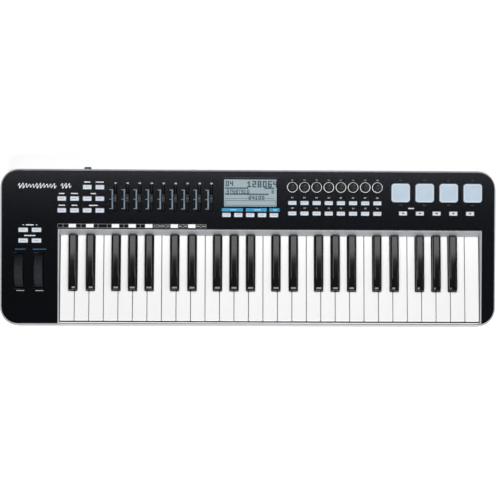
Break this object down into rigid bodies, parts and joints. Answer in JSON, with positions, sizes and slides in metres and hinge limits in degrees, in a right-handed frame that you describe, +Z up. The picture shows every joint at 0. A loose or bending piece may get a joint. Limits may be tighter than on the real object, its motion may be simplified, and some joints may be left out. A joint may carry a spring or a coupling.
{
  "type": "midi keyboard",
  "caption": "Slim controller keyboard: hinged keys, pitch and modulation wheels, faders, encoders, pads, soft buttons and a small display on a sloping black top.",
  "frame": {"origin": "centre of the footprint, on the table under the feet", "axes": "+X to the player's right along the keys, +Y to the rear, +Z up"},
  "size_m": [0.8048, 0.2584, 0.0849],
  "materials": {
    "case_silver": "fine-textured silver-grey moulding",
    "panel_black": "satin black, faintly textured",
    "surround_silver": "satin silver",
    "chassis_grey": "plain moulded",
    "circuit_board": "green solder mask",
    "display_face": "matte grey-green liquid crystal behind a clear window",
    "display_glass": "clear polished",
    "foot_rubber": "soft matte",
    "wheel_rubber": "soft ribbed",
    "switch_black": "satin",
    "cap_black": "satin, ribbed grip",
    "pad_silicone": "pale blue translucent silicone",
    "button_silicone": "pale blue-white translucent silicone",
    "key_white": "polished",
    "key_black": "polished"
  },
  "bodies": {
    "root": {"lower_case": "case_silver", "top_panel": "panel_black", "key_surround": "surround_silver", "keybed_chassis": "chassis_grey", "control_board": "circuit_board", "connector_board": "circuit_board", "display_module": "display_face", "display_window": "display_glass", "foot_front_left": "foot_rubber", "foot_front_right": "foot_rubber", "foot_rear_left": "foot_rubber", "foot_rear_right": "foot_rubber"},
    "pitch_wheel": {"pitch_wheel": "wheel_rubber"},
    "modulation_wheel": {"modulation_wheel": "wheel_rubber"},
    "power_button": {"power_button": "switch_black"},
    "fader_1": {"fader_1": "cap_black"},
    "encoder_1": {"encoder_1": "cap_black"},
    "pad_1": {"pad_1": "pad_silicone"},
    "page_button_mat": {"page_button_mat": "button_silicone"},
    "octave_button_mat": {"octave_button_mat": "button_silicone"},
    "display_button_mat": {"display_button_mat": "button_silicone"},
    "channel_button_mat": {"channel_button_mat": "button_silicone"},
    "transport_button_mat": {"transport_button_mat": "button_silicone"},
    "key_c": {"key_c": "key_white"},
    "key_c_sharp": {"key_c_sharp": "key_black"},
    "key_d": {"key_d": "key_white"},
    "key_d_sharp": {"key_d_sharp": "key_black"},
    "key_e": {"key_e": "key_white"},
    "key_f": {"key_f": "key_white"},
    "key_f_sharp": {"key_f_sharp": "key_black"},
    "key_g": {"key_g": "key_white"},
    "key_g_sharp": {"key_g_sharp": "key_black"},
    "key_a": {"key_a": "key_white"},
    "key_a_sharp": {"key_a_sharp": "key_black"},
    "key_b": {"key_b": "key_white"},
    "white_comb_1": {"white_comb_1": "key_white"},
    "black_comb_1": {"black_comb_1": "key_black"},
    "white_comb_2": {"white_comb_2": "key_white"},
    "black_comb_2": {"black_comb_2": "key_black"},
    "white_comb_4": {"white_comb_4": "key_white"},
    "black_comb_4": {"black_comb_4": "key_black"},
    "key_top_c": {"key_top_c": "key_white"},
    "fader_2": {"fader_2": "cap_black"},
    "fader_3": {"fader_3": "cap_black"},
    "fader_4": {"fader_4": "cap_black"},
    "fader_5": {"fader_5": "cap_black"},
    "fader_6": {"fader_6": "cap_black"},
    "fader_7": {"fader_7": "cap_black"},
    "fader_8": {"fader_8": "cap_black"},
    "fader_9": {"fader_9": "cap_black"},
    "encoder_2": {"encoder_2": "cap_black"},
    "encoder_3": {"encoder_3": "cap_black"},
    "encoder_4": {"encoder_4": "cap_black"},
    "encoder_5": {"encoder_5": "cap_black"},
    "encoder_6": {"encoder_6": "cap_black"},
    "encoder_7": {"encoder_7": "cap_black"},
    "encoder_8": {"encoder_8": "cap_black"},
    "pad_2": {"pad_2": "pad_silicone"},
    "pad_3": {"pad_3": "pad_silicone"},
    "pad_4": {"pad_4": "pad_silicone"}
  },
  "joints": [
    {"name": "pitch_wheel_turn", "type": "hinge", "parent": "root", "child": "pitch_wheel", "pos_m": [-0.3706, -0.03985, 0.04194], "axis": [-1, 0, 0], "range_deg": [-30, 30], "stiffness_Nm_per_rad": 0.15},
    {"name": "modulation_wheel_turn", "type": "hinge", "parent": "root", "child": "modulation_wheel", "pos_m": [-0.3391, -0.03985, 0.04194], "axis": [-1, 0, 0], "range_deg": [0, 60]},
    {"name": "power_button_press", "type": "slide", "parent": "root", "child": "power_button", "axis": [0, -1, 0], "range_m": [0, 0.003], "stiffness_N_per_m": 400, "springref_m": -0.002},
    {"name": "fader_1_slide", "type": "slide", "parent": "root", "child": "fader_1", "axis": [0, 0.9967, 0.0807], "range_m": [-0.015, 0.015]},
    {"name": "encoder_1_turn", "type": "hinge", "parent": "root", "child": "encoder_1", "pos_m": [0.07, 0.09513, 0.06993], "axis": [0, -0.0807, 0.9967], "continuous": true},
    {"name": "pad_1_press", "type": "slide", "parent": "root", "child": "pad_1", "axis": [0, 0.0807, -0.9967], "range_m": [0, 0.001], "stiffness_N_per_m": 900, "springref_m": -0.001},
    {"name": "page_button_mat_press", "type": "slide", "parent": "root", "child": "page_button_mat", "axis": [0, 0.0807, -0.9967], "range_m": [0, 0.0008], "stiffness_N_per_m": 600, "springref_m": -0.002},
    {"name": "octave_button_mat_press", "type": "slide", "parent": "root", "child": "octave_button_mat", "axis": [0, 0.0807, -0.9967], "range_m": [0, 0.0008], "stiffness_N_per_m": 600, "springref_m": -0.002},
    {"name": "display_button_mat_press", "type": "slide", "parent": "root", "child": "display_button_mat", "axis": [0, 0.0807, -0.9967], "range_m": [0, 0.0008], "stiffness_N_per_m": 600, "springref_m": -0.002},
    {"name": "channel_button_mat_press", "type": "slide", "parent": "root", "child": "channel_button_mat", "axis": [0, 0.0807, -0.9967], "range_m": [0, 0.0008], "stiffness_N_per_m": 600, "springref_m": -0.002},
    {"name": "transport_button_mat_press", "type": "slide", "parent": "root", "child": "transport_button_mat", "axis": [0, 0.0807, -0.9967], "range_m": [0, 0.0008], "stiffness_N_per_m": 600, "springref_m": -0.002},
    {"name": "key_c_press", "type": "hinge", "parent": "root", "child": "key_c", "pos_m": [0.035, 0.06325, 0.0467], "axis": [1, 0, 0], "range_deg": [0, 3.2], "stiffness_Nm_per_rad": 0.6, "springref_deg": -11.46},
    {"name": "key_c_sharp_press", "type": "hinge", "parent": "root", "child": "key_c_sharp", "pos_m": [0.04425, 0.06325, 0.0467], "axis": [1, 0, 0], "range_deg": [0, 3.2], "stiffness_Nm_per_rad": 0.6, "springref_deg": -11.46},
    {"name": "key_d_press", "type": "hinge", "parent": "root", "child": "key_d", "pos_m": [0.0585, 0.06325, 0.0467], "axis": [1, 0, 0], "range_deg": [0, 3.2], "stiffness_Nm_per_rad": 0.6, "springref_deg": -11.46},
    {"name": "key_d_sharp_press", "type": "hinge", "parent": "root", "child": "key_d_sharp", "pos_m": [0.07255, 0.06325, 0.0467], "axis": [1, 0, 0], "range_deg": [0, 3.2], "stiffness_Nm_per_rad": 0.6, "springref_deg": -11.46},
    {"name": "key_e_press", "type": "hinge", "parent": "root", "child": "key_e", "pos_m": [0.082, 0.06325, 0.0467], "axis": [1, 0, 0], "range_deg": [0, 3.2], "stiffness_Nm_per_rad": 0.6, "springref_deg": -11.46},
    {"name": "key_f_press", "type": "hinge", "parent": "root", "child": "key_f", "pos_m": [0.1055, 0.06325, 0.0467], "axis": [1, 0, 0], "range_deg": [0, 3.2], "stiffness_Nm_per_rad": 0.6, "springref_deg": -11.46},
    {"name": "key_f_sharp_press", "type": "hinge", "parent": "root", "child": "key_f_sharp", "pos_m": [0.11375, 0.06325, 0.0467], "axis": [1, 0, 0], "range_deg": [0, 3.2], "stiffness_Nm_per_rad": 0.6, "springref_deg": -11.46},
    {"name": "key_g_press", "type": "hinge", "parent": "root", "child": "key_g", "pos_m": [0.129, 0.06325, 0.0467], "axis": [1, 0, 0], "range_deg": [0, 3.2], "stiffness_Nm_per_rad": 0.6, "springref_deg": -11.46},
    {"name": "key_g_sharp_press", "type": "hinge", "parent": "root", "child": "key_g_sharp", "pos_m": [0.14075, 0.06325, 0.0467], "axis": [1, 0, 0], "range_deg": [0, 3.2], "stiffness_Nm_per_rad": 0.6, "springref_deg": -11.46},
    {"name": "key_a_press", "type": "hinge", "parent": "root", "child": "key_a", "pos_m": [0.1525, 0.06325, 0.0467], "axis": [1, 0, 0], "range_deg": [0, 3.2], "stiffness_Nm_per_rad": 0.6, "springref_deg": -11.46},
    {"name": "key_a_sharp_press", "type": "hinge", "parent": "root", "child": "key_a_sharp", "pos_m": [0.16755, 0.06325, 0.0467], "axis": [1, 0, 0], "range_deg": [0, 3.2], "stiffness_Nm_per_rad": 0.6, "springref_deg": -11.46},
    {"name": "key_b_press", "type": "hinge", "parent": "root", "child": "key_b", "pos_m": [0.176, 0.06325, 0.0467], "axis": [1, 0, 0], "range_deg": [0, 3.2], "stiffness_Nm_per_rad": 0.6, "springref_deg": -11.46},
    {"name": "white_comb_1_press", "type": "hinge", "parent": "root", "child": "white_comb_1", "pos_m": [-0.2235, 0.06325, 0.0467], "axis": [1, 0, 0], "range_deg": [0, 3.2], "stiffness_Nm_per_rad": 4.2, "springref_deg": -11.46},
    {"name": "black_comb_1_press", "type": "hinge", "parent": "root", "child": "black_comb_1", "pos_m": [-0.2235, 0.06325, 0.0467], "axis": [1, 0, 0], "range_deg": [0, 3.2], "stiffness_Nm_per_rad": 3, "springref_deg": -11.46},
    {"name": "white_comb_2_press", "type": "hinge", "parent": "root", "child": "white_comb_2", "pos_m": [-0.059, 0.06325, 0.0467], "axis": [1, 0, 0], "range_deg": [0, 3.2], "stiffness_Nm_per_rad": 4.2, "springref_deg": -11.46},
    {"name": "black_comb_2_press", "type": "hinge", "parent": "root", "child": "black_comb_2", "pos_m": [-0.059, 0.06325, 0.0467], "axis": [1, 0, 0], "range_deg": [0, 3.2], "stiffness_Nm_per_rad": 3, "springref_deg": -11.46},
    {"name": "white_comb_4_press", "type": "hinge", "parent": "root", "child": "white_comb_4", "pos_m": [0.27, 0.06325, 0.0467], "axis": [1, 0, 0], "range_deg": [0, 3.2], "stiffness_Nm_per_rad": 4.2, "springref_deg": -11.46},
    {"name": "black_comb_4_press", "type": "hinge", "parent": "root", "child": "black_comb_4", "pos_m": [0.27, 0.06325, 0.0467], "axis": [1, 0, 0], "range_deg": [0, 3.2], "stiffness_Nm_per_rad": 3, "springref_deg": -11.46},
    {"name": "key_top_c_press", "type": "hinge", "parent": "root", "child": "key_top_c", "pos_m": [0.364, 0.06325, 0.0467], "axis": [1, 0, 0], "range_deg": [0, 3.2], "stiffness_Nm_per_rad": 0.6, "springref_deg": -11.46},
    {"name": "fader_2_slide", "type": "slide", "parent": "root", "child": "fader_2", "axis": [0, 0.9967, 0.0807], "range_m": [-0.015, 0.015]},
    {"name": "fader_3_slide", "type": "slide", "parent": "root", "child": "fader_3", "axis": [0, 0.9967, 0.0807], "range_m": [-0.015, 0.015]},
    {"name": "fader_4_slide", "type": "slide", "parent": "root", "child": "fader_4", "axis": [0, 0.9967, 0.0807], "range_m": [-0.015, 0.015]},
    {"name": "fader_5_slide", "type": "slide", "parent": "root", "child": "fader_5", "axis": [0, 0.9967, 0.0807], "range_m": [-0.015, 0.015]},
    {"name": "fader_6_slide", "type": "slide", "parent": "root", "child": "fader_6", "axis": [0, 0.9967, 0.0807], "range_m": [-0.015, 0.015]},
    {"name": "fader_7_slide", "type": "slide", "parent": "root", "child": "fader_7", "axis": [0, 0.9967, 0.0807], "range_m": [-0.015, 0.015]},
    {"name": "fader_8_slide", "type": "slide", "parent": "root", "child": "fader_8", "axis": [0, 0.9967, 0.0807], "range_m": [-0.015, 0.015]},
    {"name": "fader_9_slide", "type": "slide", "parent": "root", "child": "fader_9", "axis": [0, 0.9967, 0.0807], "range_m": [-0.015, 0.015]},
    {"name": "encoder_2_turn", "type": "hinge", "parent": "root", "child": "encoder_2", "pos_m": [0.08971, 0.09513, 0.06993], "axis": [0, -0.0807, 0.9967], "continuous": true},
    {"name": "encoder_3_turn", "type": "hinge", "parent": "root", "child": "encoder_3", "pos_m": [0.10942, 0.09513, 0.06993], "axis": [0, -0.0807, 0.9967], "continuous": true},
    {"name": "encoder_4_turn", "type": "hinge", "parent": "root", "child": "encoder_4", "pos_m": [0.12913, 0.09513, 0.06993], "axis": [0, -0.0807, 0.9967], "continuous": true},
    {"name": "encoder_5_turn", "type": "hinge", "parent": "root", "child": "encoder_5", "pos_m": [0.14884, 0.09513, 0.06993], "axis": [0, -0.0807, 0.9967], "continuous": true},
    {"name": "encoder_6_turn", "type": "hinge", "parent": "root", "child": "encoder_6", "pos_m": [0.16855, 0.09513, 0.06993], "axis": [0, -0.0807, 0.9967], "continuous": true},
    {"name": "encoder_7_turn", "type": "hinge", "parent": "root", "child": "encoder_7", "pos_m": [0.18826, 0.09513, 0.06993], "axis": [0, -0.0807, 0.9967], "continuous": true},
    {"name": "encoder_8_turn", "type": "hinge", "parent": "root", "child": "encoder_8", "pos_m": [0.20797, 0.09513, 0.06993], "axis": [0, -0.0807, 0.9967], "continuous": true},
    {"name": "pad_2_press", "type": "slide", "parent": "root", "child": "pad_2", "axis": [0, 0.0807, -0.9967], "range_m": [0, 0.001], "stiffness_N_per_m": 900, "springref_m": -0.001},
    {"name": "pad_3_press", "type": "slide", "parent": "root", "child": "pad_3", "axis": [0, 0.0807, -0.9967], "range_m": [0, 0.001], "stiffness_N_per_m": 900, "springref_m": -0.001},
    {"name": "pad_4_press", "type": "slide", "parent": "root", "child": "pad_4", "axis": [0, 0.0807, -0.9967], "range_m": [0, 0.001], "stiffness_N_per_m": 900, "springref_m": -0.001}
  ]
}
